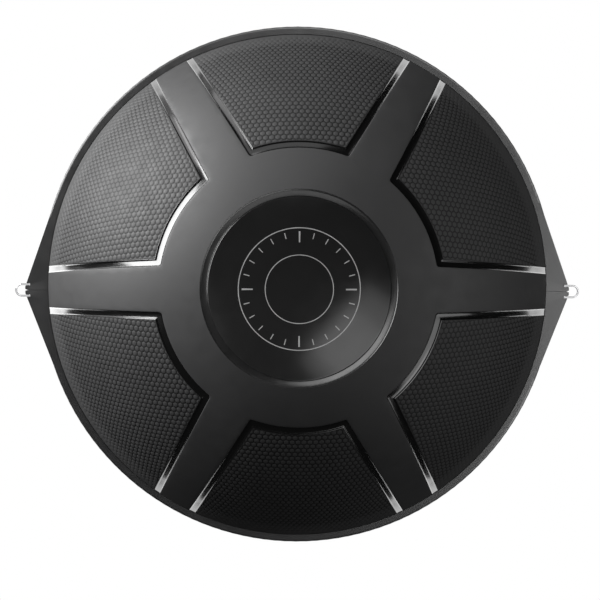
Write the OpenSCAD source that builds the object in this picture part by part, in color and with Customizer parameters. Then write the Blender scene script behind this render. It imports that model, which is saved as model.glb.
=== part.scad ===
// Balance dome trainer: a rigid round platform carries an inflated half-ball dome.
// A rim ring in two halves clamps the dome, and its pointed ears hold wire loops for bands.
// Carry grips, an air valve and rubber feet are on the underside.
// Millimetres. +Z is up, the origin is on the floor under the middle, and the ears lie on X.

/* [Dome] */
// Radius of the dome where it meets the rim ring
dome_edge_r = 290.5; // [285:0.5:291]
// Height of the dome above the rim ring's top
dome_rise = 141; // [130:1:150]
// Thickness of the dome's wall
dome_wall = 5; // [3:0.5:6]
// Outer radius of the round groove that frames the centre disc
hub_ring_r = 100.5; // [90:0.5:110]
// Width of that groove
hub_ring_w = 8; // [6:0.5:9]
// Depth of the dome's grooves
groove_depth = 2.2; // [1:0.1:3]
// Number of textured tread panels
panel_count = 6; // [6]
// Radius of a tread panel's inner edge
panel_in_r = 143.5; // [135:0.5:155]
// Width of the smooth spoke between two panels, next to the hub
spoke_w_in = 47; // [40:0.5:55]
// Width of that spoke at the rim
spoke_w_out = 39.5; // [35:0.5:50]
// How far the tread panels lie below the spokes
panel_depth = 1.2; // [0.6:0.1:1.6]

/* [Rim ring] */
// Outer radius of the rim ring
ring_r = 300; // [299:0.5:302]
// Height of the rim ring's top above the floor
ring_top = 54; // [54:0.5:56]
// Height of the ring's lower edge above the floor
ring_bottom = 27; // [26:0.5:28]
// Rounding of the ring's top outer edge
ring_edge_r = 3; // [2:0.5:4]
// Gap between the two ring halves
ring_gap = 0.3; // [0.2:0.1:0.6]
// Distance from the middle to an ear's blunt tip
ear_tip_x = 318; // [314:0.5:320]
// Width of the blunt tip between its rounded corners
ear_tip_w = 13.5; // [12:0.5:15]
// Rounding of the ear's corners
ear_tip_r = 3.5; // [3.2:0.1:4]
// Length of the notch in the tip where the two halves part
notch_len = 4.2; // [2:0.1:5]
// Width of that notch at its mouth
notch_w = 2.2; // [1:0.1:3]

/* [Band loops] */
// Radius of the loop's wire
wire_r = 1.15; // [1:0.05:1.3]
// Distance between the loop's two legs, from wire centre to wire centre
loop_w = 13.4; // [13:0.1:14]
// Distance from the middle to the loop's outermost point
loop_reach = 330.2; // [327:0.1:332]
// Distance from the middle to the loop's pivot
pivot_x = 313.2; // [313:0.1:314]
// Depth of the pivot below the ear's top
pivot_depth = 3.5; // [3.3:0.1:4]
// Radial clearance of the wire in its bore
pivot_gap = 0.05; // [0.03:0.01:0.08]

/* [Platform] */
// Height of the feet below the platform's deck
foot_h = 4.5; // [4:0.5:5]
// Thickness of the deck and of the outer wall
deck_t = 4; // [3.5:0.5:4.5]
// Outer radius of the platform's wall
bowl_r = 286; // [286]
// Radius that rounds the wall into the deck
bowl_round = 12; // [8:1:12]
// Number of radial ribs
rib_count = 24; // [12:12:24]
// Thickness of the ribs
rib_t = 2.6; // [2:0.1:3]
// Radius of the valve well
well_r = 22; // [20:1:24]

/* [Carry grips] */
// Distance from the middle to a grip bar
grip_x = 221; // [218:1:222]
// Width of the hand pocket across the bar
pocket_w = 58; // [54:1:58]
// Length of the hand pocket along the bar
pocket_len = 120; // [110:1:120]
// Radius of the grip bar
bar_r = 5; // [4:0.5:5.5]
// Radius of the grip sleeve
sleeve_r = 7.5; // [7:0.5:7.5]
// Length of the grip sleeve
sleeve_len = 92; // [80:4:92]

/* [Valve] */
// Radius of the valve's air passage
valve_bore_r = 6; // [5:0.5:7]
// Radial clearance of the plug in the air passage
plug_gap = 0.05; // [0.03:0.01:0.08]
// Length of the plug's shank
plug_len = 18.5; // [16:0.5:20]

/* [Feet and screws] */
// Radius of the circle on which the feet stand
foot_circle_r = 256; // [250:1:257]
// Radius of a foot
foot_r = 16; // [14:1:16]
// Number of screws that hold the rim ring
ring_screw_count = 16; // [8:8:16]
// Radius of the circle of ring screws
ring_screw_circle_r = 291.5; // [291.5]

/* [Hidden] */
$fn = 120;

eps = 1;              // how far a cutting shape runs past the face that it opens
fit_gap = 0.3;        // clearance between the soft dome and the hard parts
foot_count = 8;
foot_start = 180 / foot_count;
ring_screw_start = 180 / ring_screw_count;

// Dome: a spherical cap whose edge rolls under
dome_sphere_r = (dome_edge_r * dome_edge_r + dome_rise * dome_rise) / (2 * dome_rise);
dome_edge_z = ring_top - fit_gap;
dome_cz = dome_edge_z + dome_rise - dome_sphere_r;
edge_polar = asin(dome_edge_r / dome_sphere_r);
roll_r = 9;
roll_x = dome_edge_r - roll_r * sin(edge_polar);
roll_z = dome_edge_z - roll_r * cos(edge_polar);
roll_bottom = roll_z - roll_r;
function dome_z(r) = dome_cz + sqrt(dome_sphere_r * dome_sphere_r - r * r);

// Clamp: the ring's flange presses the dome's bead on to the platform's seat
clamp_top = roll_bottom - fit_gap;
clamp_t = 4;
bead_top = clamp_top - clamp_t;
bead_t = 2.6;
seat_z = bead_top - bead_t;
neck_r = 271;
neck_in_r = 264.6;
bead_r = bowl_r - fit_gap;
floor_rise = 4.7;     // the dome's floor over the bead's underside
floor_z = seat_z + floor_rise;
floor_t = 4;
ring_in_r = bowl_r + fit_gap;
lip_r = dome_edge_r + 0.4;

// Platform
deck_top = foot_h + deck_t;
rib_top = floor_z;
flange_r = ring_r - 1.5;
flange_t = 5;
hoop_t = 3.5;
well_wall = 3;
web_gap = 0.05;       // keeps the webs' flat ends off the round walls
tread_ring_count = 9;
tread_ring_pitch = 16;
tread_ring_first = 44;
tread_ring_w = 3;
tread_ring_h = 0.8;

// Carry grips: the handle's end plates sit in shallow seats beside the hand pocket
pocket_round = 8;
pocket_wall = 3;
tub_round = 6;
pocket_roof = 2.6;
seat_len = 18;
seat_w = 26;
seat_depth = 5.5;
bar_z = foot_h + 8.5;
plate_gap = 0.4;
plate_z = foot_h + 0.5;
plate_t = 4.9;
plate_over = 8;
handle_screw_y = pocket_len / 2 + seat_len / 2;
sleeve_ridge_pitch = 8;
sleeve_ridge = 0.6;
sleeve_collar = 1;

// Band loops
pivot_z = ring_top - pivot_depth;
leg_y = loop_w / 2;
leg_floor_z = pivot_z - wire_r - pivot_gap;
slot_gap = 0.2;
slot_w = 2 * (wire_r + slot_gap);
slot_back = 2.6;
pin_end_y = 2.4;
loop_centre_x = loop_reach - wire_r - leg_y;

// Ears
ear_sink = 0.6;       // lets the ear's flank cross the ring's outside at a small angle
ear_core_r = ring_r - 5;
ear_steps = 4;

// Valve
seat_flange_t = 2.2;
seat_flange_r = 18;
seat_tube_r = 10.9;
seat_tube_h = 20;
seat_lock_r = 15;
plug_head_r = 13;
plug_head_t = 2.5;
plug_tab_w = 16;
plug_tab_h = 8;
plug_tab_t = 3;
plug_hole_r = 2.6;
plug_nose = 2;

// Screws
ring_screw_r = 2;
ring_screw_len = 16;
screw_gap = 0.1;
screw_head_r = 4;
screw_head_h = 2.8;
drive_w = 1;
drive_depth = 1.4;
handle_screw_len = 18;
handle_head_h = 2.2;
splice_x = 304.5;
splice_z = 36;
splice_r = 2.5;
splice_half = 12;
splice_head_r = 4.2;
splice_head_h = 4;
splice_pocket_r = 4.8;
splice_nut_af = 8;
splice_nut_h = 4;
foot_stem_r = 4;
foot_stem_h = 9;
foot_boss_r = 8;
foot_groove_r = 10;

// ---- Shared shapes ----

// A rectangle with round corners, centred
module round_rect(w, l, r) {
    square([w - 2 * r, l], center = true);
    square([w, l - 2 * r], center = true);
    for (x = [-1, 1], y = [-1, 1])
        translate([x * (w / 2 - r), y * (l / 2 - r)]) circle(r);
}

// A cylinder along Y, from y0 to y1
module rod_y(r, y0, y1) {
    translate([0, y0, 0]) rotate([-90, 0, 0]) cylinder(h = y1 - y0, r = r);
}

// A cross-slotted pan-head screw that points up from z = 0, its head below
module pan_screw(r, len, head_r, head_h) {
    difference() {
        union() {
            cylinder(h = len, r = r);
            translate([0, 0, -head_h]) cylinder(h = head_h, r = head_r);
        }
        for (a = [0, 90]) rotate([0, 0, a])
            translate([0, 0, -head_h + drive_depth / 2 - eps / 2])
                cube([head_r * 1.2, drive_w, drive_depth + eps], center = true);
    }
}

module around(count, radius, start = 0) {
    for (i = [0 : count - 1])
        rotate([0, 0, start + i * 360 / count]) translate([radius, 0, 0]) children();
}

// ---- Platform ----

// The rounded outer wall, the ring's flange, and the hoop under the dome's neck
module wall_section() {
    round_x = bowl_r - bowl_round;
    round_z = foot_h + bowl_round;
    translate([neck_in_r, foot_h]) square([round_x - neck_in_r, deck_t]);
    intersection() {
        difference() {
            translate([round_x, round_z]) circle(bowl_round);
            translate([round_x, round_z]) circle(bowl_round - deck_t);
        }
        translate([round_x, foot_h]) square([bowl_round, bowl_round]);
    }
    translate([bowl_r - deck_t, round_z]) square([deck_t, seat_z - round_z]);
    translate([bowl_r - deck_t, ring_bottom - flange_t])
        square([flange_r - bowl_r + deck_t, flange_t]);
    translate([neck_in_r, foot_h]) square([hoop_t, seat_z - foot_h]);
}

module base_wall() {
    color("#2b2b2d") difference() {
        rotate_extrude() wall_section();
        around(ring_screw_count, ring_screw_circle_r, ring_screw_start)
            translate([0, 0, ring_bottom - flange_t - eps])
                cylinder(h = flange_t + 2 * eps, r = ring_screw_r + 2 * screw_gap);
    }
}

// The flat deck around the valve cup, with round treads underneath
module deck_section() {
    translate([well_r + well_wall, foot_h])
        square([neck_in_r - well_r - well_wall, deck_t]);
    for (i = [0 : tread_ring_count - 1])
        translate([tread_ring_first + i * tread_ring_pitch, foot_h - tread_ring_h])
            square([tread_ring_w, 2 * tread_ring_h]);
}

// Plan of a hand pocket's outside
module tub_plan() {
    translate([grip_x, 0])
        round_rect(pocket_w + 2 * pocket_wall, pocket_len + 2 * (seat_len + pocket_wall), tub_round);
}

module base_deck() {
    color("#2b2b2d") difference() {
        union() {
            rotate_extrude() deck_section();
            around(foot_count, foot_circle_r, foot_start)
                translate([0, 0, foot_h]) cylinder(h = foot_stem_h + deck_t, r = foot_boss_r);
        }
        for (m = [0, 1]) mirror([m, 0, 0])
            translate([0, 0, foot_h - eps]) linear_extrude(deck_t + 2 * eps) tub_plan();
        around(foot_count, foot_circle_r, foot_start)
            translate([0, 0, foot_h - eps])
                cylinder(h = foot_stem_h + 2 * eps, r = foot_stem_r + screw_gap);
    }
}

// Upright plates that carry the dome's floor, and short webs between the hoop and the wall
module base_ribs() {
    rib_in = well_r + well_wall + web_gap;
    rib_out = neck_in_r - fit_gap;
    web_in = neck_in_r + hoop_t + web_gap;
    web_out = bowl_r - deck_t - web_gap;
    tub_in = grip_x - pocket_w / 2 - pocket_wall;
    tub_len = pocket_len + 2 * (seat_len + pocket_wall);
    color("#2b2b2d") {
        difference() {
            for (i = [0 : rib_count - 1]) rotate([0, 0, i * 360 / rib_count])
                translate([rib_in, -rib_t / 2, deck_top])
                    cube([rib_out - rib_in, rib_t, rib_top - deck_top]);
            for (m = [0, 1]) mirror([m, 0, 0])
                translate([tub_in, -tub_len / 2, foot_h]) cube([rib_out, tub_len, rib_top]);
        }
        for (i = [0 : rib_count - 1]) rotate([0, 0, i * 360 / rib_count]) rotate([90, 0, 0])
            linear_extrude(rib_t, center = true)
                polygon([[web_in, deck_top], [bowl_r - bowl_round, deck_top],
                    [web_out, foot_h + bowl_round], [web_out, seat_z], [web_in, seat_z]]);
    }
}

// A hand pocket, with shallow seats and screw holes for the handle's end plates
module pocket_tub() {
    difference() {
        translate([0, 0, foot_h]) linear_extrude(rib_top - foot_h) tub_plan();
        translate([grip_x, 0, foot_h - eps])
            linear_extrude(rib_top - pocket_roof - foot_h + eps)
                round_rect(pocket_w, pocket_len, pocket_round);
        translate([grip_x, 0, foot_h - eps]) linear_extrude(seat_depth + eps)
            square([seat_w, pocket_len + 2 * seat_len], center = true);
        for (s = [-1, 1]) translate([grip_x, s * handle_screw_y, foot_h])
            cylinder(h = plate_z + handle_screw_len, r = ring_screw_r + screw_gap);
    }
}

module pocket_left() { color("#2b2b2d") mirror([1, 0, 0]) pocket_tub(); }
module pocket_right() { color("#2b2b2d") pocket_tub(); }

// The round wall of the well in which the valve sits
module valve_cup() {
    color("#2b2b2d") difference() {
        translate([0, 0, foot_h]) cylinder(h = rib_top - foot_h, r = well_r + well_wall);
        translate([0, 0, foot_h - eps]) cylinder(h = rib_top, r = well_r);
    }
}

// ---- Rim ring ----

module ring_section() {
    round_x = ring_r - ring_edge_r;
    round_z = ring_top - ring_edge_r;
    difference() {
        union() {
            translate([ring_in_r, ring_bottom])
                square([ring_r - ring_in_r, round_z - ring_bottom]);
            translate([ring_in_r, ring_bottom])
                square([round_x - ring_in_r, ring_top - ring_bottom]);
            translate([round_x, round_z]) circle(ring_edge_r);
            translate([neck_r + fit_gap, bead_top]) square([ring_in_r - neck_r, clamp_t]);
        }
        // room for the dome's rolled edge, closing to a lip at the top
        polygon([[neck_r, clamp_top], [lip_r + 2, clamp_top], [lip_r + 2, ring_top - 4.5],
            [lip_r, ring_top], [lip_r - 1, ring_top + eps], [neck_r, ring_top + eps]]);
    }
}

// Outline of both ears and the disc between them, drawn inset from the finished edge
module ear_outline(inset) {
    r = ring_r - ear_sink - inset;
    c = ear_tip_r - inset;
    cx = ear_tip_x - ear_tip_r;
    cy = ear_tip_w / 2 - ear_tip_r;
    a = atan2(cy, cx) + acos((r - c) / norm([cx, cy]));
    polygon([[r * cos(a), r * sin(a)], [cx + c * cos(a), cy + c * sin(a)], [cx + c, cy],
        [cx + c, -cy], [cx + c * cos(a), -cy - c * sin(a)], [r * cos(a), -r * sin(a)]]);
    for (s = [-1, 1]) translate([cx, s * cy]) circle(c);
}

// One ear, its top edge rounded in small steps
module ear() {
    step = ring_edge_r / ear_steps;
    difference() {
        union() {
            translate([0, 0, ring_bottom])
                linear_extrude(ring_top - ring_edge_r - ring_bottom) ear_outline(0);
            for (i = [0 : ear_steps - 1]) {
                h = (i + 0.5) * step;
                translate([0, 0, ring_top - ring_edge_r + i * step]) linear_extrude(step)
                    ear_outline(ring_edge_r - sqrt(ring_edge_r * ring_edge_r - h * h));
            }
        }
        translate([0, 0, ring_bottom - eps])
            cylinder(h = ring_top, r = ear_core_r);
    }
}

// What one ear loses to the wire loop, the splice screw and the notch where the halves part
module ear_cuts() {
    notch_x = ear_tip_x - notch_len;
    for (s = [-1, 1]) translate([pivot_x - slot_back, s * leg_y - slot_w / 2, leg_floor_z])
        cube([ear_tip_x, slot_w, ring_top]);
    translate([pivot_x, 0, pivot_z]) for (m = [0, 1]) mirror([0, m, 0])
        rod_y(wire_r + pivot_gap, pin_end_y - slot_gap, leg_y);
    translate([0, 0, ring_bottom - eps]) linear_extrude(ring_top)
        polygon([[notch_x, 0], [ear_tip_x + eps, -notch_w / 2 * (1 + eps / notch_len)],
            [ear_tip_x + eps, notch_w / 2 * (1 + eps / notch_len)]]);
    translate([splice_x, 0, splice_z]) {
        rod_y(splice_r + screw_gap, -splice_half - eps, splice_half + eps);
        rod_y(splice_pocket_r, -ring_r / 4, -splice_half);
        rod_y(splice_pocket_r, splice_half, ring_r / 4);
    }
}

// The rear half is side 1 and the front half is side -1
module ring_half(side) {
    color("#37373a") difference() {
        intersection() {
            union() {
                rotate_extrude() ring_section();
                for (m = [0, 1]) mirror([m, 0, 0]) ear();
            }
            translate([-2 * ring_r, side > 0 ? ring_gap / 2 : -2 * ring_r - ring_gap / 2, 0])
                cube([4 * ring_r, 2 * ring_r, 2 * ring_top]);
        }
        for (m = [0, 1]) mirror([m, 0, 0]) ear_cuts();
        around(ring_screw_count, ring_screw_circle_r, ring_screw_start)
            translate([0, 0, ring_bottom - eps])
                cylinder(h = ring_screw_len - flange_t + 2 * eps, r = ring_screw_r + screw_gap);
    }
}

module ring_rear() { ring_half(1); }
module ring_front() { ring_half(-1); }

// ---- Dome ----

// The spherical cap and its rolled edge, drawn at a depth below the outer surface
module cap_section(inset) {
    r = dome_sphere_r - inset;
    edge_x = r * sin(edge_polar);
    edge_z = dome_cz + r * cos(edge_polar);
    low_z = roll_z - roll_r + inset;
    intersection() {
        translate([0, dome_cz]) circle(r);
        translate([0, edge_z]) square([edge_x, dome_sphere_r]);
    }
    translate([roll_x, roll_z]) circle(roll_r - inset);
    polygon([[0, low_z], [roll_x, low_z], [edge_x, edge_z], [0, edge_z]]);
}

// Section of the groove that frames the centre disc: a long outer slope and a steep inner one
module hub_groove_section() {
    inner_r = hub_ring_r - hub_ring_w;
    low = [inner_r + 1, dome_z(inner_r + 1) - groove_depth];
    outer_edge = [hub_ring_r, dome_z(hub_ring_r)];
    inner_edge = [inner_r, dome_z(inner_r)];
    polygon([low, low + (outer_edge - low) * 1.5, low + (inner_edge - low) * 2.5]);
}

// The hollow dome: cap, rolled edge, neck, clamped bead and flat floor
module dome_section() {
    cavity_r = neck_in_r - 2 * floor_t;
    difference() {
        union() {
            cap_section(0);
            polygon([[0, floor_z], [neck_in_r, floor_z], [neck_in_r, seat_z], [bead_r, seat_z],
                [bead_r, bead_top], [neck_r, bead_top], [neck_r, roll_bottom + eps],
                [0, roll_bottom + eps]]);
        }
        hub_groove_section();
        cap_section(dome_wall);
        translate([0, floor_z + floor_t]) square([cavity_r, 2 * dome_wall]);
    }
}

// Plan outline of the tread panel centred on X
module panel_plan() {
    half_angle = 180 / panel_count;
    far = dome_edge_r / cos(half_angle) + eps;
    slope = (spoke_w_in - spoke_w_out) / 2 / (dome_edge_r - panel_in_r);
    function edge(u) = let(h = spoke_w_in / 2 - (u - panel_in_r) * slope)
        [u * cos(half_angle) + h * sin(half_angle), u * sin(half_angle) - h * cos(half_angle)];
    inner = edge(panel_in_r / 2);
    outer = edge(far);
    difference() {
        intersection() {
            polygon([inner, outer, [far, 0], [outer[0], -outer[1]], [inner[0], -inner[1]]]);
            circle(dome_edge_r + 2 * eps);
        }
        circle(panel_in_r);
    }
}

module panel_recesses() {
    for (i = [0 : panel_count - 1]) rotate([0, 0, (i + 0.5) * 360 / panel_count])
        difference() {
            translate([0, 0, dome_edge_z + fit_gap + 0.2])
                linear_extrude(dome_rise) panel_plan();
            translate([0, 0, dome_cz]) sphere(dome_sphere_r - panel_depth);
        }
}

module dome_bladder() {
    color("#4a4a4c") difference() {
        rotate_extrude() dome_section();
        panel_recesses();
        translate([0, 0, floor_z - eps]) cylinder(h = floor_t + 2 * eps, r = seat_tube_r + screw_gap);
    }
}

// ---- Valve ----

module valve_seat() {
    flange_z = floor_z - seat_flange_t;
    color("#1d1d1f") difference() {
        union() {
            translate([0, 0, flange_z]) cylinder(h = seat_flange_t, r = seat_flange_r);
            translate([0, 0, flange_z]) cylinder(h = seat_flange_t + seat_tube_h, r = seat_tube_r);
            translate([0, 0, floor_z + floor_t]) cylinder(h = seat_flange_t, r = seat_lock_r);
        }
        translate([0, 0, flange_z - eps])
            cylinder(h = seat_tube_h + seat_flange_t + 2 * eps, r = valve_bore_r);
    }
}

// A push-in plug with a tapered nose, a broad head and a tab to pull it by
module valve_plug() {
    head_top = floor_z - seat_flange_t - fit_gap;
    shank_r = valve_bore_r - plug_gap;
    color("#5c5c60") {
        translate([0, 0, head_top - plug_head_t]) cylinder(h = plug_head_t, r = plug_head_r);
        translate([0, 0, head_top - eps]) cylinder(h = plug_len - plug_nose + eps, r = shank_r);
        translate([0, 0, head_top + plug_len - plug_nose])
            cylinder(h = plug_nose, r1 = shank_r, r2 = shank_r - plug_nose / 2);
        difference() {
            translate([-plug_tab_w / 2, -plug_tab_t / 2, head_top - plug_head_t - plug_tab_h])
                cube([plug_tab_w, plug_tab_t, plug_tab_h + eps]);
            translate([0, 0, head_top - plug_head_t - plug_tab_h / 2])
                rod_y(plug_hole_r, -plug_tab_t, plug_tab_t);
        }
    }
}

// ---- Band loops ----

// Bent wire: two pins turned inwards, two straight legs and a half-round end
module wire_loop() {
    for (m = [0, 1]) mirror([0, m, 0]) {
        translate([pivot_x, 0, pivot_z]) rod_y(wire_r, pin_end_y, leg_y);
        translate([pivot_x, leg_y, pivot_z]) sphere(wire_r);
        translate([pivot_x, leg_y, pivot_z]) rotate([0, 90, 0])
            cylinder(h = loop_centre_x - pivot_x, r = wire_r);
    }
    translate([loop_centre_x, 0, pivot_z]) rotate([0, 0, -90])
        rotate_extrude(angle = 180) translate([leg_y, 0]) circle(wire_r);
}

module loop_left() { color("#c9c9cc") mirror([1, 0, 0]) wire_loop(); }
module loop_right() { color("#c9c9cc") wire_loop(); }

// ---- Carry grips ----

// The bar and its two screwed end plates
module handle() {
    plate_len = seat_len - plate_gap;
    plate_end = pocket_len / 2 + seat_len - plate_gap;
    block_end = pocket_len / 2 - plate_gap;
    difference() {
        union() {
            translate([grip_x, 0, bar_z]) rod_y(bar_r, -block_end, block_end);
            for (m = [0, 1]) mirror([0, m, 0]) {
                translate([grip_x - seat_w / 2 + plate_gap, block_end - plate_over, plate_z])
                    cube([seat_w - 2 * plate_gap, plate_end - block_end + plate_over, plate_t]);
                translate([grip_x - bar_r, block_end - plate_over, plate_z])
                    cube([2 * bar_r, plate_over, bar_z - plate_z]);
            }
        }
        for (s = [-1, 1]) translate([grip_x, s * handle_screw_y, 0]) {
            translate([0, 0, plate_z - eps])
                cylinder(h = plate_t + 2 * eps, r = ring_screw_r + 2 * screw_gap);
            translate([0, 0, plate_z - eps])
                cylinder(h = handle_head_h + eps, r = screw_head_r + 2 * screw_gap);
        }
    }
}

module handle_left() { color("#2b2b2d") mirror([1, 0, 0]) handle(); }
module handle_right() { color("#2b2b2d") handle(); }

// A rubber sleeve with ridges and a collar at each end
module grip_sleeve() {
    half = sleeve_len / 2;
    ridges = floor(sleeve_len / sleeve_ridge_pitch) - 1;
    translate([grip_x, -half, bar_z]) rotate([-90, 0, 0]) rotate_extrude() {
        translate([bar_r + pivot_gap, 0]) square([sleeve_r - bar_r, sleeve_len]);
        for (y = [0, sleeve_len - 2]) translate([bar_r + pivot_gap, y])
            square([sleeve_r - bar_r + sleeve_collar - pivot_gap, 2]);
        for (i = [1 : ridges])
            translate([bar_r + 1, i * sleeve_ridge_pitch + sleeve_ridge_pitch / 4])
                square([sleeve_r - bar_r - 1 + sleeve_ridge, sleeve_ridge_pitch / 2]);
    }
}

module grip_left() { color("#3a3a3c") mirror([1, 0, 0]) grip_sleeve(); }
module grip_right() { color("#3a3a3c") grip_sleeve(); }

// ---- Fasteners ----

module ring_screws() {
    color("#8d8d90") around(ring_screw_count, ring_screw_circle_r, ring_screw_start)
        translate([0, 0, ring_bottom - flange_t])
            pan_screw(ring_screw_r, ring_screw_len, screw_head_r, screw_head_h);
}

module splice_screws() {
    color("#8d8d90") for (m = [0, 1]) mirror([m, 0, 0])
        translate([splice_x, -splice_half, splice_z]) rotate([-90, 0, 0]) difference() {
            union() {
                cylinder(h = 2 * splice_half + splice_nut_h, r = splice_r);
                translate([0, 0, -splice_head_h]) cylinder(h = splice_head_h, r = splice_head_r);
            }
            translate([0, 0, -splice_head_h - eps])
                cylinder(h = splice_head_h / 2 + eps, r = splice_r, $fn = 6);
        }
}

module splice_nuts() {
    color("#8d8d90") for (m = [0, 1]) mirror([m, 0, 0])
        translate([splice_x, splice_half, splice_z]) rotate([-90, 0, 0]) difference() {
            cylinder(h = splice_nut_h - 0.5, r = splice_nut_af / 2 / cos(30), $fn = 6);
            translate([0, 0, -eps]) cylinder(h = splice_nut_h + 2 * eps, r = splice_r + pivot_gap);
        }
}

module handle_screws() {
    color("#8d8d90") for (m = [0, 1]) mirror([m, 0, 0])
        for (s = [-1, 1]) translate([grip_x, s * handle_screw_y, plate_z + handle_head_h])
            pan_screw(ring_screw_r, handle_screw_len - handle_head_h, screw_head_r,
                handle_head_h - screw_gap);
}

// ---- Feet ----

// A round rubber foot with a groove underneath and a stem that presses into the deck
module foot(index) {
    color("#1f1f21") rotate([0, 0, foot_start + (index - 1) * 360 / foot_count])
        translate([foot_circle_r, 0, 0]) difference() {
            union() {
                cylinder(h = foot_h, r = foot_r);
                cylinder(h = foot_h + foot_stem_h, r = foot_stem_r);
            }
            translate([0, 0, -eps]) difference() {
                cylinder(h = 2 * eps, r = foot_groove_r + 1);
                cylinder(h = 2 * eps, r = foot_groove_r - 1);
            }
        }
}

base_wall();
base_deck();
base_ribs();
pocket_left();
pocket_right();
valve_cup();
ring_rear();
ring_front();
dome_bladder();
valve_seat();
valve_plug();
loop_left();
loop_right();
handle_left();
handle_right();
grip_left();
grip_right();
ring_screws();
splice_screws();
splice_nuts();
handle_screws();
for (i = [1 : foot_count]) foot(i);
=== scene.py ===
"""Looks of the balance dome trainer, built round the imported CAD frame.

Lengths are in millimetres until a mesh is made. The studio is in metres."""

import math

import bmesh
import bpy
import numpy as np
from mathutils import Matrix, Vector
from mathutils.geometry import delaunay_2d_cdt


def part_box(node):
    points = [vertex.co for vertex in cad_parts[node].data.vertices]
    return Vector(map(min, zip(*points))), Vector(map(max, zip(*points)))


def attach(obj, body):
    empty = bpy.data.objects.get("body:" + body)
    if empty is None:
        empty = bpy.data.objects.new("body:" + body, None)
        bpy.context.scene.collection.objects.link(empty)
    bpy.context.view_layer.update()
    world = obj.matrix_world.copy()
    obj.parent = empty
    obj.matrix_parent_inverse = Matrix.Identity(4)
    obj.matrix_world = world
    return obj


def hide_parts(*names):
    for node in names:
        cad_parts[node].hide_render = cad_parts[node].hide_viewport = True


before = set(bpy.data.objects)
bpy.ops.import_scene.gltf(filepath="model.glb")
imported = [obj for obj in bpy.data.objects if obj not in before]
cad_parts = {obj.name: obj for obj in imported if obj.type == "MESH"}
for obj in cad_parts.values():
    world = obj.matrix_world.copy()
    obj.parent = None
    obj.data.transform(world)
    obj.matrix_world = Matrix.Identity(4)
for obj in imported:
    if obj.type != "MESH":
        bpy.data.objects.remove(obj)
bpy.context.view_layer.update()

# ---------------------------------------------------------------- dimensions

MM = 0.001
RIM_LIP = 0.3                                            # the dome's edge lies this far below the ring's top
RIM_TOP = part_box("ring_rear")[1].z / MM
APEX_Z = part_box("dome_bladder")[1].z / MM
EDGE_R = 290.5                                           # the dome's radius where it meets the rim
EDGE_Z = RIM_TOP - RIM_LIP
RISE = APEX_Z - EDGE_Z
SPHERE_R = (EDGE_R**2 + RISE**2) / (2 * RISE)
SPHERE_Z = APEX_Z - SPHERE_R
EDGE_POLAR = math.asin(EDGE_R / SPHERE_R)

PANELS = 6
HALF = math.pi / PANELS                                  # half the angle that one panel and its spoke share
PANEL_IN_R = 142.8                                       # a panel groove's edge towards the hub
SPOKE_IN, SPOKE_OUT = 46.0, 38.8                         # a spoke's width there and at the rim
HUB_R = 100.5                                            # outer edge of the groove round the centre disc
BAND = 8.4                                               # a groove's whole width beside a spoke
ARC_WIDER = 1.12                                         # a groove is this much wider along its inner arc

# Groove section: distance from its outer edge, and height over the dome's surface
GROOVE = [(0, 0), (0.25, -0.04), (0.5, -0.18), (0.8, -0.5), (1.3, -1.15), (1.6, -1.45), (1.9, -1.62),
          (2.3, -1.7), (4.5, -1.74), (6.6, -1.78), (6.9, -1.72), (7.15, -1.55), (7.5, -1.22), (7.8, -1.0),
          (8.1, -0.92), (8.4, -0.9)]
SKIN_ROWS = 4                                            # of these points, on the skin's rounded edge
RUN_OUT = 17.0                                           # grooves get shallower over this width at the rim
RIM_DEPTH = 0.3                                          # the share of their depth that is left there
TREAD_Z = -0.9                                           # height of a tread panel's plain edge
DISC_Z = -0.25                                           # height of the centre disc
HUB_GROOVE = [(0, 0), (0.2, -0.05), (0.4, -0.2), (0.7, -0.65), (1.0, -1.0), (1.25, -1.15), (1.6, -1.22),
              (4.0, -1.26), (6.5, -1.32), (6.8, -1.28), (7.1, -1.1), (7.4, -0.7), (7.7, -0.42), (8.0, -0.29),
              (8.5, DISC_Z)]

# Outline of a panel
CORNER_R = 3.6                                           # radius of its corners
CORNER_LOSS = 0.35                                       # corners get this much tighter for each mm inwards
CORNER_LEAST = 1.0                                       # but no tighter than this
SIDE_POINTS, CORNER_POINTS, ARC_POINTS = 46, 9, 24       # along a side, a corner, and half the inner arc

# Tread: pebbles on a hexagonal grid that wraps round the dome
PEBBLE = 6.3                                             # from one pebble to the next
PEBBLE_ROWS, PEBBLE_COLUMNS = 17, 26                     # on each side of a panel's middle
PEBBLE_POINTS = 12                                       # round a pebble: six corners, six middles of sides
PANEL_MID_R = 217.0                                      # where the grid is centred

# Rings of a pebble: share of its width, height over the dome, roundness from a hexagon (0) to a circle (1)
PEBBLE_RINGS = [(1.0, -1.1, 0.0), (0.84, -0.9, 0.3), (0.66, -0.72, 0.7), (0.36, -0.64, 1.0)]
PEBBLE_TOP = -0.62
TREAD_CLEAR = 0.35                                       # pebbles start this far inside a panel's edge
TREAD_EDGE = 0.9                                         # and reach their height over this width
TREAD_FADE = 9.0                                         # they fade over this width at the rim
FADE_POWER = 0.7                                         # how fast: below 1, most of it is close to the rim

# How finely the dome's meshes are divided
SPOKE_STEP, TREAD_STEP = 2.5, 2.0                        # between points on the rim, at a spoke and a panel
SKIN_STEP = 4.5                                          # between the points inside the smooth skin
HUB_CLEAR, RIM_CLEAR, PANEL_CLEAR = 4, 2, 2.0            # how far these keep off the hub, rim and panels
HUB_POINTS = 360                                         # round the hub and the disc
DISC_ROWS, DISC_MIDDLE_R = 24, 2                         # the disc's rows, and the radius of the last one
SAME_PLACE, SAME_ANGLE = 1e-6, 1e-7                      # points closer than this are one
TINY = 1e-9                                              # nothing is divided by less


# ---------------------------------------------------------------- dome surface

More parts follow.
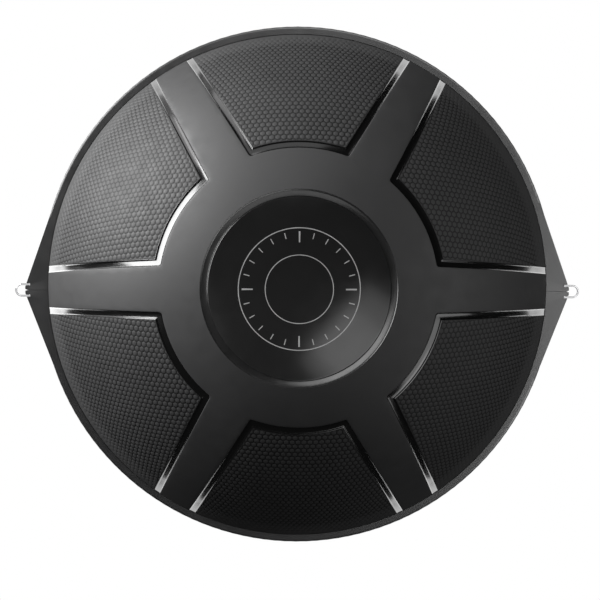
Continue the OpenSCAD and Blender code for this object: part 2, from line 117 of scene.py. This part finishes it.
def lift(xy, h=0.0):
    """Points over the plan positions xy, at height h along the dome's normal."""
    xy = np.asarray(xy, float)
    z = np.sqrt(SPHERE_R**2 - (xy**2).sum(1))
    n = np.column_stack([xy, z]) / SPHERE_R
    return n * (SPHERE_R + np.broadcast_to(h, len(xy)))[:, None] + [0, 0, SPHERE_Z]


def shallower(xy):
    """The share of a groove's depth that is left at plan points near the rim."""
    return 1 - (1 - RIM_DEPTH) * np.clip(1 - (EDGE_R - np.hypot(*np.asarray(xy).T)) / RUN_OUT, 0, 1)


def turn(xy, angle):
    """Plan points turned about the dome's middle."""
    c, s = math.cos(angle), math.sin(angle)
    return np.asarray(xy) @ np.array([[c, s], [-s, c]])


# The side of the panel centred on +X: a straight line beside the spoke at -HALF
_along = np.array([math.cos(HALF), -math.sin(HALF)])
_across = np.array([math.sin(HALF), math.cos(HALF)])
SIDE_FROM = PANEL_IN_R * _along + SPOKE_IN / 2 * _across
_side_to = EDGE_R * _along + SPOKE_OUT / 2 * _across
SIDE_DIR = (_side_to - SIDE_FROM) / np.linalg.norm(_side_to - SIDE_FROM)
SIDE_IN = np.array([-SIDE_DIR[1], SIDE_DIR[0]])          # points into the panel


def inside_panel(xy, offset=0.0):
    """How far plan points lie inside the panel centred on +X, or a line offset into it. Below 0: outside."""
    folded = np.column_stack([xy[:, 0], -np.abs(xy[:, 1])])
    side = (folded - SIDE_FROM) @ SIDE_IN - offset
    return np.minimum(side, np.hypot(*xy.T) - PANEL_IN_R - ARC_WIDER * offset)


def on_line(offset, radius):
    """Where the side line, moved offset into the panel, crosses a circle round the middle."""
    p = SIDE_FROM + offset * SIDE_IN
    b, c = p @ SIDE_DIR, p @ p - radius**2
    return p + (-b + math.sqrt(b * b - c)) * SIDE_DIR


def panel_path(offset):
    """The groove's line at a distance inside the panel's outline: rim, corner, inner arc, corner, rim."""
    bend = max(CORNER_LEAST, CORNER_R - CORNER_LOSS * offset)
    arc_offset = ARC_WIDER * offset
    centre = on_line(offset + bend, PANEL_IN_R + arc_offset + bend)
    start, corner = on_line(offset, EDGE_R), centre - bend * SIDE_IN
    side = start + np.linspace(0, 1, SIDE_POINTS)[:, None] * (corner - start)
    a0 = math.atan2(*-SIDE_IN[::-1])
    a1 = math.atan2(*-centre[::-1])
    sweep = (a1 - a0 + math.pi) % (2 * math.pi) - math.pi
    a = a0 + sweep * np.linspace(0, 1, CORNER_POINTS)[1:]
    fillet = centre + bend * np.column_stack([np.cos(a), np.sin(a)])
    a_end = math.atan2(fillet[-1, 1], fillet[-1, 0])
    a = np.linspace(a_end, 0, ARC_POINTS)[1:]
    arc = (PANEL_IN_R + arc_offset) * np.column_stack([np.cos(a), np.sin(a)])
    half = np.vstack([side, fillet, arc])
    return np.vstack([half, half[-2::-1] * [1, -1]])


def rim_arc(start, end, step):
    """Points on the dome's edge between two azimuths, without its ends."""
    count = max(2, math.ceil(EDGE_R * abs(end - start) / step))
    a = np.linspace(start, end, count + 1)[1:-1]
    return EDGE_R * np.column_stack([np.cos(a), np.sin(a)])


def azimuth(p):
    return math.atan2(p[1], p[0])


def azimuths_of_rim(start, end):
    """Azimuths of the points along a tread panel's rim side, without its ends."""
    return [azimuth(p) for p in rim_arc(start, end, TREAD_STEP)]


def in_polygon(points, loop):
    """Which plan points lie inside a closed loop."""
    x, y = points.T
    found = np.zeros(len(points), bool)
    for (x0, y0), (x1, y1) in zip(loop, np.roll(loop, -1, axis=0)):
        spans = (y0 > y) != (y1 > y)
        if spans.any():
            found ^= spans & (x < (x1 - x0) * (y - y0) / (y1 - y0) + x0)
    return found


def triangulate(loops, inner):
    """(points, triangles) between the first closed loop and the holes after it, through the inner points."""
    points = np.vstack([*loops, inner])
    edges, first = [], 0
    for loop in loops:
        n = len(loop)
        edges += [(first + i, first + (i + 1) % n) for i in range(n)]
        first += n
    out = delaunay_2d_cdt([Vector(p) for p in points], edges, [], 0, SAME_PLACE, True)
    source = [ids[0] for ids in out[3]]
    faces = np.array([[source[v] for v in f] for f in out[2]])
    centres = points[faces].mean(1)
    keep = in_polygon(centres, loops[0])
    for hole in loops[1:]:
        keep &= ~in_polygon(centres, hole)
    return points, faces[keep]


# ---------------------------------------------------------------- meshes

MERGE = 0.002                                            # points closer than this become one
SHARP = math.radians(55)                                 # edges sharper than this stay sharp


class Build:
    """Collects vertices and faces, and makes one smooth mesh."""

    def __init__(self):
        self.points, self.faces, self.count = [], [], 0

    def add(self, points, faces):
        self.points.append(np.asarray(points, float))
        self.faces += [tuple(int(i) + self.count for i in f) for f in faces]
        self.count += len(points)

    def grid(self, rows, closed=False):
        """Quads between rows of equally many points."""
        n = len(rows[0])
        wrap = n if closed else n - 1
        faces = [(r * n + i, (r + 1) * n + i, (r + 1) * n + (i + 1) % n, r * n + (i + 1) % n)
                 for r in range(len(rows) - 1) for i in range(wrap)]
        self.add(np.vstack(rows), faces)

    def make(self, name, material, merge=MERGE):
        """The mesh as an object. Points closer than merge become one, unless it is 0."""
        mesh = bpy.data.meshes.new(name)
        mesh.from_pydata((np.vstack(self.points) * MM).tolist(), [], self.faces)
        obj = bpy.data.objects.new(name, mesh)
        bpy.context.scene.collection.objects.link(obj)
        mesh.materials.append(material)
        if merge:
            bm = bmesh.new()
            bm.from_mesh(mesh)
            bmesh.ops.remove_doubles(bm, verts=bm.verts, dist=merge * MM)
            bmesh.ops.recalc_face_normals(bm, faces=bm.faces)
            bm.to_mesh(mesh)
            bm.free()
        mesh.shade_smooth()
        mesh.set_sharp_from_angle(angle=SHARP)
        return obj


def circle(radius, height):
    """One row of points round the dome's middle, at a plan radius and a height over the dome."""
    a = np.linspace(0, 2 * math.pi, HUB_POINTS, endpoint=False)
    return lift(radius * np.column_stack([np.cos(a), np.sin(a)]), height)


def panel_angle(i):
    """Azimuth of the middle of a panel."""
    return (2 * i + 1) * HALF


# ---------------------------------------------------------------- materials

MIX_A, MIX_B, MIX_RESULT = 6, 7, 2                       # a mix node's colour sockets
EDGE_FROM, EDGE_TO = 0.53, 0.62                          # pointiness where wear starts, and is full
MOST_WEAR = 0.55                                         # the most that wear lightens an edge
MOTTLE_DETAIL, ROUGH_DETAIL, GRAIN_DETAIL = 4, 5, 2      # octaves of noise


def nodes_of(name):
    """(material, node tree, shader) of a new material."""
    m = bpy.data.materials.new(name)
    m.use_nodes = True
    tree = m.node_tree
    return m, tree, tree.nodes["Principled BSDF"]


def link(tree, a, b):
    tree.links.new(a, b)


def noise(tree, size, detail, stretch=(1, 1, 1)):
    """A noise value whose features are about size millimetres wide."""
    coord = tree.nodes.new("ShaderNodeTexCoord")
    scale = tree.nodes.new("ShaderNodeMapping")
    scale.inputs["Scale"].default_value = [k / (size * MM) for k in stretch]
    texture = tree.nodes.new("ShaderNodeTexNoise")
    texture.inputs["Scale"].default_value = 1.0
    texture.inputs["Detail"].default_value = detail
    link(tree, coord.outputs["Object"], scale.inputs["Vector"])
    link(tree, scale.outputs["Vector"], texture.inputs["Vector"])
    return texture.outputs["Fac"]


def spread(tree, value, low, high, start=0.3, end=0.7):
    """Maps a noise value to a range."""
    node = tree.nodes.new("ShaderNodeMapRange")
    for socket, number in (("From Min", start), ("From Max", end), ("To Min", low), ("To Max", high)):
        node.inputs[socket].default_value = number
    link(tree, value, node.inputs["Value"])
    return node.outputs["Result"]


def mixed(tree, factor, a, b):
    """Mixes two colours, which are tuples or sockets."""
    node = tree.nodes.new("ShaderNodeMix")
    node.data_type = "RGBA"
    link(tree, factor, node.inputs["Factor"])
    for socket, colour in ((node.inputs[MIX_A], a), (node.inputs[MIX_B], b)):
        if isinstance(colour, tuple):
            socket.default_value = (*colour, 1)
        else:
            link(tree, colour, socket)
    return node.outputs[MIX_RESULT]


def paint_gap_shade(tree, colour, low, high, gap):
    """Painted shade: darkens a colour towards the gap tone where the surface lies lower on the dome than
    high.
    """
    coord, away = tree.nodes.new("ShaderNodeTexCoord"), tree.nodes.new("ShaderNodeVectorMath")
    away.operation = "DISTANCE"
    away.inputs[1].default_value = (0, 0, SPHERE_Z * MM)
    link(tree, coord.outputs["Object"], away.inputs[0])
    share = spread(tree, away.outputs["Value"], 0, 1, (SPHERE_R + low) * MM, (SPHERE_R + high) * MM)
    return mixed(tree, share, gap, colour)


def surface(name, dark, light, rough, grain, mottle=60.0, wear=None, metallic=0.0, coat=0.0, coat_rough=0.1,
            specular=0.5, stretch=(1, 1, 1), painted_gap_shade=None):
    """A moulded, rubber or metal finish: colour mottled between two tones, varied roughness, a fine grain.

    rough is (low, high), mottle is the width of the blotches, grain is (width, depth), wear is the tone of
    rubbed edges, and painted_gap_shade is (low, high, tone) for paint_gap_shade, which paints shade into the
    gaps."""
    m, tree, shader = nodes_of(name)
    colour = mixed(tree, spread(tree, noise(tree, mottle, MOTTLE_DETAIL), 0, 1), dark, light)
    if wear:
        geometry = tree.nodes.new("ShaderNodeNewGeometry")
        edge = spread(tree, geometry.outputs["Pointiness"], 0, MOST_WEAR, EDGE_FROM, EDGE_TO)
        colour = mixed(tree, edge, colour, wear)
    # painted shade: the colour darkens in the gaps between bumps, as if they lay in shadow
    if painted_gap_shade:
        colour = paint_gap_shade(tree, colour, *painted_gap_shade)
    link(tree, colour, shader.inputs["Base Color"])
    link(tree, spread(tree, noise(tree, mottle / 4, ROUGH_DETAIL), *rough), shader.inputs["Roughness"])
    bump = tree.nodes.new("ShaderNodeBump")
    bump.inputs["Distance"].default_value = grain[1] * MM
    link(tree, noise(tree, grain[0], GRAIN_DETAIL, stretch), bump.inputs["Height"])
    link(tree, bump.outputs["Normal"], shader.inputs["Normal"])
    shader.inputs["Metallic"].default_value = metallic
    shader.inputs["Coat Weight"].default_value = coat
    shader.inputs["Coat Roughness"].default_value = coat_rough
    shader.inputs["Specular IOR Level"].default_value = specular
    return m


skin_satin = surface("skin_satin", (0.033, 0.033, 0.0335), (0.037, 0.037, 0.0375), (0.50, 0.60), (0.7, 0.02))
groove_gloss = surface("groove_gloss", (0.003, 0.003, 0.003), (0.0045, 0.0045, 0.0045), (0.14, 0.20),
                       (1.5, 0.006), coat=1.0, coat_rough=0.14)
moat_gloss = surface("moat_gloss", (0.009, 0.009, 0.009), (0.012, 0.012, 0.012), (0.20, 0.26), (1.5, 0.006))
disc_gloss = surface("disc_gloss", (0.021, 0.021, 0.021), (0.024, 0.024, 0.024), (0.16, 0.22), (1.2, 0.008))
# the tread's gap tone is painted shade between the pebbles
tread_rubber = surface("tread_rubber", (0.045, 0.045, 0.0455), (0.052, 0.052, 0.0525), (0.50, 0.60),
                       (0.45, 0.02), specular=0.25, painted_gap_shade=(-1.02, -0.72, (0.004, 0.004, 0.004)))
print_ink = surface("print_ink", (0.40, 0.40, 0.40), (0.48, 0.48, 0.48), (0.35, 0.45), (0.3, 0.01), mottle=9)

HARD_FINISH = {
    "ring": surface("ring_satin", (0.013, 0.013, 0.0132), (0.016, 0.016, 0.0163), (0.36, 0.46),
                    (0.5, 0.008), wear=(0.04, 0.04, 0.04)),
    "shell": surface("shell_grain", (0.016, 0.016, 0.0163), (0.021, 0.021, 0.0214), (0.48, 0.62),
                     (0.9, 0.07), wear=(0.045, 0.045, 0.045)),
    "handle": surface("handle_satin", (0.014, 0.014, 0.0143), (0.018, 0.018, 0.0183), (0.38, 0.5),
                      (0.6, 0.03), wear=(0.04, 0.04, 0.04)),
    "grip": surface("grip_rubber", (0.022, 0.022, 0.0225), (0.030, 0.030, 0.0305), (0.66, 0.8),
                    (0.5, 0.06), mottle=20),
    "foot": surface("foot_rubber", (0.014, 0.014, 0.0142), (0.024, 0.024, 0.0242), (0.6, 0.8),
                    (0.6, 0.05), mottle=12),
    "valve": surface("valve_plastic", (0.035, 0.035, 0.036), (0.042, 0.042, 0.043), (0.22, 0.3),
                     (1.0, 0.01), mottle=15),
    "wire": surface("loop_chrome", (0.72, 0.72, 0.73), (0.80, 0.80, 0.81), (0.10, 0.22),
                    (0.5, 0.004), mottle=6, metallic=1.0),
    "screw": surface("screw_zinc", (0.42, 0.42, 0.43), (0.56, 0.56, 0.57), (0.24, 0.42),
                     (0.35, 0.012), mottle=4, metallic=1.0, stretch=(1, 1, 6)),
}
PIECES = {
    "shell": ["base_wall", "base_deck", "base_ribs", "pocket_left", "pocket_right", "valve_cup"],
    "ring": ["ring_rear", "ring_front"],
    "handle": ["handle_left", "handle_right"],
    "grip": ["grip_left", "grip_right"],
    "valve": ["valve_seat", "valve_plug"],
    "wire": ["loop_left", "loop_right"],
    "screw": ["ring_screws", "splice_screws", "splice_nuts", "handle_screws"],
    "foot": [f"foot_{i}" for i in range(1, 9)],
}
for finish, node_names in PIECES.items():
    for node_name in node_names:
        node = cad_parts[node_name]
        node.data.materials.clear()
        node.data.materials.append(HARD_FINISH[finish])


# ---------------------------------------------------------------- dome: smooth skin, grooves and centre disc

ROLL_R = 9.0                                             # the rolled edge under the rim's lip
ROLL_X, ROLL_Z = EDGE_R - ROLL_R * math.sin(EDGE_POLAR), EDGE_Z - ROLL_R * math.cos(EDGE_POLAR)
NECK_R, BEAD_R, NECK_IN_R = 271.0, 285.7, 264.6          # the neck under the roll, the bead, its inner side
ROLL_ROWS, GROOVE_ROWS = 14, 4                           # rows round the roll; the grooves die out over some
BEAD_TOP, BEAD_T = 4.3, 2.6                              # bead's top under the roll, and its thickness
FLOOR_UP, FLOOR_RADII = 4.7, (180.0, 90.0)               # floor over the bead's foot, and radii of its rows
VALVE_R, VALVE_UP = 11.0, 4                              # the valve's hole, and the height of its wall


def skin_meshes():
    """The smooth skin with its underside, the panel grooves, the groove round the disc, and the disc."""
    smooth, grooves, moat, disc = Build(), Build(), Build(), Build()
    paths = [panel_path(q) for q, _ in GROOVE]
    outer, rim = [], []
    for i in range(PANELS):
        a = panel_angle(i)
        rows = [lift(turn(path, a), h * shallower(path)) for path, (_, h) in zip(paths, GROOVE)]
        smooth.grid(rows[:SKIN_ROWS])
        grooves.grid(rows[SKIN_ROWS - 1:])
        ends = [(azimuth(path[0]) + a, h * RIM_DEPTH) for path, (_, h) in zip(paths, GROOVE)]
        last = azimuth(paths[-1][0])
        tread_rim = azimuths_of_rim(last, -last)
        rim += ends + [(t + a, TREAD_Z * RIM_DEPTH) for t in tread_rim]
        rim += [(2 * a - t, h) for t, h in reversed(ends)]
        spoke = rim_arc(a - azimuth(paths[0][0]), a + 2 * HALF + azimuth(paths[0][0]), SPOKE_STEP)
        rim += [(azimuth(p) % (2 * math.pi), 0.0) for p in spoke]
        outer += [turn(paths[0], a), spoke]
    a = np.linspace(0, 2 * math.pi, HUB_POINTS, endpoint=False)
    hub = HUB_R * np.column_stack([np.cos(a), np.sin(a)])
    inner = []
    for radius in np.arange(HUB_R + HUB_CLEAR, EDGE_R - RIM_CLEAR, SKIN_STEP):
        n = int(2 * math.pi * radius / SKIN_STEP)
        t = np.linspace(0, 2 * math.pi, n, endpoint=False) + radius      # each ring starts at its own azimuth
        ring = radius * np.column_stack([np.cos(t), np.sin(t)])
        depth = np.max([inside_panel(turn(ring, -panel_angle(i))) for i in range(PANELS)], axis=0)
        inner.append(ring[depth < -PANEL_CLEAR])
    points, faces = triangulate([np.vstack(outer), hub], np.vstack(inner))
    smooth.add(lift(points), faces)

    moat.grid([circle(HUB_R - q, h) for q, h in HUB_GROOVE], closed=True)
    disc_r = HUB_R - HUB_GROOVE[-1][0]
    radii = np.linspace(disc_r, DISC_MIDDLE_R, DISC_ROWS)
    disc.grid([circle(r, DISC_Z) for r in radii], closed=True)
    disc.add(np.vstack([circle(DISC_MIDDLE_R, DISC_Z), lift([[0, 0]], DISC_Z)]),
             [(i, (i + 1) % HUB_POINTS, HUB_POINTS) for i in range(HUB_POINTS)])

    rim = np.array(sorted((t % (2 * math.pi), h) for t, h in rim))
    rim = rim[np.insert(np.diff(rim[:, 0]) > SAME_ANGLE, 0, True)]
    c, s = np.cos(rim[:, 0]), np.sin(rim[:, 0])

    def ring_row(r, z):
        return np.column_stack([r * c, r * s, np.broadcast_to(z, len(c))])

    rows = []
    for step, t in enumerate(np.linspace(EDGE_POLAR, math.pi, ROLL_ROWS)):
        reach = ROLL_R + rim[:, 1] * max(0.0, 1 - step / GROOVE_ROWS)
        rows.append(ring_row(ROLL_X + reach * math.sin(t), ROLL_Z + reach * math.cos(t)))
    low = ROLL_Z - ROLL_R
    bead = low - BEAD_TOP
    seat = bead - BEAD_T
    floor = seat + FLOOR_UP
    for r, z in ((NECK_R, low), (NECK_R, bead), (BEAD_R, bead), (BEAD_R, seat), (NECK_IN_R, seat),
                 (NECK_IN_R, floor), *((r, floor) for r in FLOOR_RADII), (VALVE_R, floor),
                 (VALVE_R, floor + VALVE_UP)):
        rows.append(ring_row(r, z))
    smooth.grid(rows, closed=True)
    return (smooth.make("dome_skin", skin_satin), grooves.make("dome_grooves", groove_gloss),
            moat.make("hub_groove", moat_gloss), disc.make("dome_disc", disc_gloss))


skin, grooves, moat, disc = skin_meshes()
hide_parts("dome_bladder")
for piece in (skin, grooves, moat, disc):
    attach(piece, "base")


# ---------------------------------------------------------------- dome: pebbled tread panels

def wrap(uv):
    """Plan positions of points on the dome, from distances round and down it from a panel's middle."""
    polar = math.asin(PANEL_MID_R / SPHERE_R)
    rho = np.maximum(np.hypot(*uv.T), TINY)[:, None]
    tangent = (uv[:, :1] * [0, 1, 0] + uv[:, 1:] * [math.cos(polar), 0, -math.sin(polar)]) / rho
    middle = np.array([math.sin(polar), 0, math.cos(polar)])
    n = np.cos(rho / SPHERE_R) * middle + np.sin(rho / SPHERE_R) * tangent
    return SPHERE_R * n[:, :2]


def pebble_points():
    """Plan positions and heights of the tread's vertices, for the panel centred on +X."""
    grid = np.array([((i + j % 2 / 2) * PEBBLE, j * PEBBLE * math.sqrt(3) / 2)
                     for j in range(-PEBBLE_ROWS, PEBBLE_ROWS + 1)
                     for i in range(-PEBBLE_COLUMNS, PEBBLE_COLUMNS + 1)])
    a = np.radians(np.arange(0, 360, 360 // PEBBLE_POINTS))
    reach = np.where(np.arange(PEBBLE_POINTS) % 2 == 0, PEBBLE / 2, PEBBLE / math.sqrt(3))
    points, heights = [], []
    for share, height, roundness in PEBBLE_RINGS:
        r = share * (reach * (1 - roundness) + reach.mean() * roundness)
        ring = grid[:, None] + r[None, :, None] * np.column_stack([np.cos(a), np.sin(a)])
        points.append(ring.reshape(-1, 2))
        heights.append(np.full(len(points[-1]), height))
    points.append(grid)
    heights.append(np.full(len(grid), PEBBLE_TOP))
    points, heights = np.vstack(points), np.concatenate(heights)
    _, once = np.unique(np.round(points, decimals=2), axis=0, return_index=True)
    return wrap(points[once]), heights[once]


def tread_mesh():
    """(plan points, heights, faces) of one tread panel centred on +X."""
    path = panel_path(BAND)
    rim = rim_arc(azimuth(path[-1]), azimuth(path[0]), TREAD_STEP)
    loop = np.vstack([path, rim])
    xy, h = pebble_points()
    clear = np.minimum(inside_panel(xy, BAND), EDGE_R - np.hypot(*xy.T))
    kept = clear > TREAD_CLEAR
    xy, h, clear = xy[kept], h[kept], clear[kept]
    fade = np.clip((clear - TREAD_CLEAR) / TREAD_EDGE, 0, 1)
    h = TREAD_Z + (h - TREAD_Z) * fade
    plain = TREAD_Z * shallower(xy)
    near_rim = np.clip(1 - (EDGE_R - np.hypot(*xy.T)) / TREAD_FADE, 0, 1)
    h = plain + (h - TREAD_Z) * (1 - near_rim)**FADE_POWER
    points, faces = triangulate([loop], xy)
    return points, np.concatenate([TREAD_Z * shallower(loop), h]), faces


tread_xy, tread_h, tread_faces = tread_mesh()
for i in range(PANELS):
    panel = Build()
    panel.add(lift(turn(tread_xy, panel_angle(i)), tread_h), tread_faces)
    tread = panel.make(f"tread_{i + 1}", tread_rubber, merge=0)
    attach(tread, "base")


# ---------------------------------------------------------------- print on the centre disc

PRINT_RINGS = [(61.0, 0.9), (34.0, 0.8)]                 # radius and width
RING_POINTS = 240                                        # round one
TICKS, LONG_EVERY = 24, 6                                # each sixth tick is long
LONG_TICK, SHORT_TICK = (11.0, 1.6), (6.0, 0.9)          # length and width
TICK_OUT_R, TICK_WIDTH_R = 57.5, 55.0                    # the ticks' outer end; where their width is measured
TICK_POINTS = 3                                          # across a tick
PRINT_T = 0.05                                           # height over the disc, and depth below it


def print_mesh():
    """A plain dial: two thin rings with ticks between them."""
    b = Build()

    def band(r0, r1, a0, a1, count, closed=False):
        a = np.linspace(a0, a1, count, endpoint=not closed)
        rows = [lift(r * np.column_stack([np.cos(a), np.sin(a)]), DISC_Z + h)
                for r, h in ((r0, -PRINT_T), (r0, PRINT_T), (r1, PRINT_T), (r1, -PRINT_T))]
        b.grid(rows, closed)

    for radius, width in PRINT_RINGS:
        band(radius - width / 2, radius + width / 2, 0, 2 * math.pi, RING_POINTS, True)
    for i in range(TICKS):
        a = 2 * math.pi * i / TICKS
        length, width = SHORT_TICK if i % LONG_EVERY else LONG_TICK
        half = width / (2 * TICK_WIDTH_R)
        band(TICK_OUT_R - length, TICK_OUT_R, a - half, a + half, TICK_POINTS)
    return b.make("disc_print", print_ink, merge=0)


dial = print_mesh()
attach(dial, "base")


# ---------------------------------------------------------------- rubber strips between the ring's halves

EAR_TIP_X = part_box("ring_rear")[1].x / MM
STRIP_T, STRIP_EDGE = 0.24, 0.1                          # thickness, and height of the bevel on top
STRIP_LOW, STRIP_TOP = 6.0, 0.5                          # its edges' depths below the ring's top
STRIP_START, NOTCH = 1.0, 2.2                            # it keeps this far off the dome, and the ear's tip
STRIP_ROWS = 12                                          # along a strip


def strip_mesh(side):
    """A flat strip between the ring's halves at one ear, with a bevelled upper edge."""
    b = Build()
    xs = np.linspace(EDGE_R + STRIP_START, EAR_TIP_X - NOTCH, STRIP_ROWS)
    high, low = RIM_TOP - STRIP_TOP, RIM_TOP - STRIP_LOW
    section = [(-STRIP_T / 2, low), (-STRIP_T / 2, high - STRIP_EDGE), (-STRIP_T / 4, high),
               (STRIP_T / 4, high), (STRIP_T / 2, high - STRIP_EDGE), (STRIP_T / 2, low)]
    rows = [np.array([(side * x, y, z) for y, z in section]) for x in xs]
    b.grid(rows, closed=True)
    for row in (rows[0], rows[-1]):
        b.add(row, [range(len(section))])
    return b.make("strip_left" if side < 0 else "strip_right", HARD_FINISH["foot"])


for side in (-1, 1):
    strip = strip_mesh(side)
    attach(strip, "base")


# ---------------------------------------------------------------- floor, light and camera

FLOOR_R, BACKDROP_R = 4.0, 5.0                           # metres
FLOOR_POINTS, BACKDROP_SEGMENTS, BACKDROP_RINGS = 96, 48, 24   # how finely they are divided
WHITE = 1.0                                              # how strongly the floor and the backdrop glow
WORLD_STRENGTH = 0.013                                   # a trace of light from all sides
SOFTBOX_AWAY = 2.0                                       # how far around() goes from the aim, metres
AIM_Z = 0.1                                              # height of the point that all softboxes face
CAMERA_AT = (-0.0154, -0.0090, 0.9916)                   # above the dome, metres
CAMERA_TURN = (-0.0813, 0.001, 0.003)                    # radians
CAMERA_LENS, CAMERA_SHIFT = 48, (0.0283, 0.106)          # millimetres, and shares of the picture's width


def glow(name, strength):
    """A plain white surface that gives off its own light."""
    m, tree, shader = nodes_of(name)
    shader.inputs["Base Color"].default_value = (0, 0, 0, 1)
    shader.inputs["Specular IOR Level"].default_value = 0
    shader.inputs["Emission Color"].default_value = (1, 1, 1, 1)
    shader.inputs["Emission Strength"].default_value = strength
    return m


def set_stage(obj, name, strength):
    """Names a part of the studio that only the camera sees."""
    obj.name = name
    obj.data.materials.append(glow(name + "_white", strength))
    obj.visible_diffuse = obj.visible_glossy = obj.visible_shadow = False


def studio():
    """A white floor, clear from below, and a white backdrop."""
    bpy.ops.mesh.primitive_circle_add(vertices=FLOOR_POINTS, radius=FLOOR_R, fill_type="NGON")
    floor = bpy.context.object
    set_stage(floor, "floor", WHITE)
    tree = floor.data.materials[0].node_tree
    output, shader = tree.nodes["Material Output"], tree.nodes["Principled BSDF"]
    geometry = tree.nodes.new("ShaderNodeNewGeometry")
    clear = tree.nodes.new("ShaderNodeBsdfTransparent")
    one_sided = tree.nodes.new("ShaderNodeMixShader")
    link(tree, geometry.outputs["Backfacing"], one_sided.inputs["Fac"])
    link(tree, shader.outputs["BSDF"], one_sided.inputs[1])
    link(tree, clear.outputs["BSDF"], one_sided.inputs[2])
    link(tree, one_sided.outputs["Shader"], output.inputs["Surface"])
    bpy.ops.mesh.primitive_uv_sphere_add(segments=BACKDROP_SEGMENTS, ring_count=BACKDROP_RINGS,
                                         radius=BACKDROP_R)
    set_stage(bpy.context.object, "backdrop", WHITE)


def only_for(light, pieces):
    """Lets a light reach only some pieces."""
    group = bpy.data.collections.new("lit_by_" + light.name)
    for piece in pieces:
        group.objects.link(piece)
    light.light_linking.receiver_collection = group


def area_light(name, shape, power, place, turned, pieces):
    """An area light that the camera doesn't see. It reaches only the pieces; with none given, everything."""
    light = bpy.data.lights.new(name, "AREA")
    light.shape = shape
    light.energy = power
    obj = bpy.data.objects.new(name, light)
    obj.location, obj.rotation_euler = place, turned
    obj.visible_camera = False
    bpy.context.scene.collection.objects.link(obj)
    if pieces:
        only_for(obj, pieces)
    return light


def floor_glow(name, radius, radiance, height, pieces=None, x=0.0, y=0.0):
    """The light that a white floor within a radius throws up."""
    power = radiance * (math.pi * radius)**2
    light = area_light(name, "DISK", power, (x, y, height), (math.pi, 0, 0), pieces)
    light.size = 2 * radius


def softbox(name, place, size, power, pieces=None):
    """A rectangular light that faces the dome."""
    turned = (Vector(place) - Vector((0, 0, AIM_Z))).to_track_quat("Z", "Y").to_euler()
    light = area_light(name, "RECTANGLE", power, place, turned, pieces)
    light.size, light.size_y = size


def around(bearing, off_vertical):
    """A place round the dome, from its azimuth and its angle off the vertical in degrees."""
    a, t = math.radians(bearing), math.radians(off_vertical)
    x, y = SOFTBOX_AWAY * math.sin(t) * math.cos(a), SOFTBOX_AWAY * math.sin(t) * math.sin(a)
    return x, y, AIM_Z + SOFTBOX_AWAY * math.cos(t)


studio()
wires = [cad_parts["loop_left"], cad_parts["loop_right"]]
hard = [node for name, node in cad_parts.items() if name != "dome_bladder" and node not in wires]
glossy = [grooves, moat, disc, dial]
matt = [piece for piece in bpy.data.objects
        if piece.type == "MESH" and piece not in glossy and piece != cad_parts["dome_bladder"]]

# Softboxes: azimuth and angle off the vertical in degrees, size in metres, power in watts, what they light.
# The glossy pieces don't get the key, which would burn out the disc and the groove round it in low views.
softbox("key", around(147, 78), (1.3, 1.0), 99, matt)
softbox("rear", around(95, 55), (1.0, 1.0), 7, matt + [dial])
softbox("groove_rear", around(95, 53), (1.0, 1.0), 2.2, [grooves, disc])
softbox("groove_low", around(322, 50), (0.8, 0.45), 1.6, [grooves])
softbox("moat_low", around(306, 40), (1.7, 0.9), 19, [moat])
softbox("disc_fill", around(200, 58), (1.0, 1.0), 20, [disc, dial])
softbox("moat_sky", around(95, 30), (1.5, 0.9), 6.5, [moat])
softbox("right", around(15, 62), (1.2, 1.0), 6.8, matt + [dial])
softbox("low_right", around(335, 60), (1.0, 1.0), 4.4)
softbox("front", around(315, 29), (0.8, 0.8), 2)
softbox("groove_key", around(147, 78), (1.3, 1.0), 10, [grooves, dial])
softbox("groove_soft", around(120, 78), (1.0, 1.0), 5, [grooves])
softbox("accent", around(158, 60), (1.5, 0.8), 45, [grooves, moat])
softbox("sheen", around(320, 32), (1.45, 0.9), 6.0, glossy)
softbox("rim_right", around(-5, 48), (1.6, 1.0), 46, hard)
softbox("rim_rear", around(75, 55), (1.4, 1.0), 24, hard)
softbox("wire_sky", (0, 0, 1.3), (3.0, 3.0), 25, wires)

# Floor glows: radius in metres, radiance, height, what they light, and x and y of the middle.
# No two of them lie at one height, or they would hide each other. All are below the feet.
floor_glow("glow_under", 0.27, 1.2, -0.001, hard)
floor_glow("glow_all", 0.6, 0.04, -0.0015)
floor_glow("glow_grooves", 0.52, 1.8, -0.002, [grooves, moat])
floor_glow("glow_left", 0.7, 0.5, -0.0025, [grooves], -0.92, 0.78)
floor_glow("glow_hard", 0.6, 0.4, -0.003, hard)
floor_glow("glow_wires", 0.9, 0.8, -0.0035, wires)
floor_glow("glow_far_left", 0.13, 2.6, -0.004, [grooves], -0.44, 0.0)

for name in ("ring_rear", "ring_front"):                 # the ring doesn't darken the grooves' ends
    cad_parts[name].visible_glossy = False

world = bpy.data.worlds.new("studio")
world.use_nodes = True
world.node_tree.nodes["Background"].inputs["Color"].default_value = (1, 1, 1, 1)
world.node_tree.nodes["Background"].inputs["Strength"].default_value = WORLD_STRENGTH
bpy.context.scene.world = world
bpy.context.scene.view_settings.view_transform = "Standard"

camera = bpy.data.objects.new("camera", bpy.data.cameras.new("camera"))
camera.location = CAMERA_AT
camera.rotation_euler = CAMERA_TURN
camera.data.lens = CAMERA_LENS
camera.data.shift_x, camera.data.shift_y = CAMERA_SHIFT
bpy.context.scene.collection.objects.link(camera)
bpy.context.scene.camera = camera
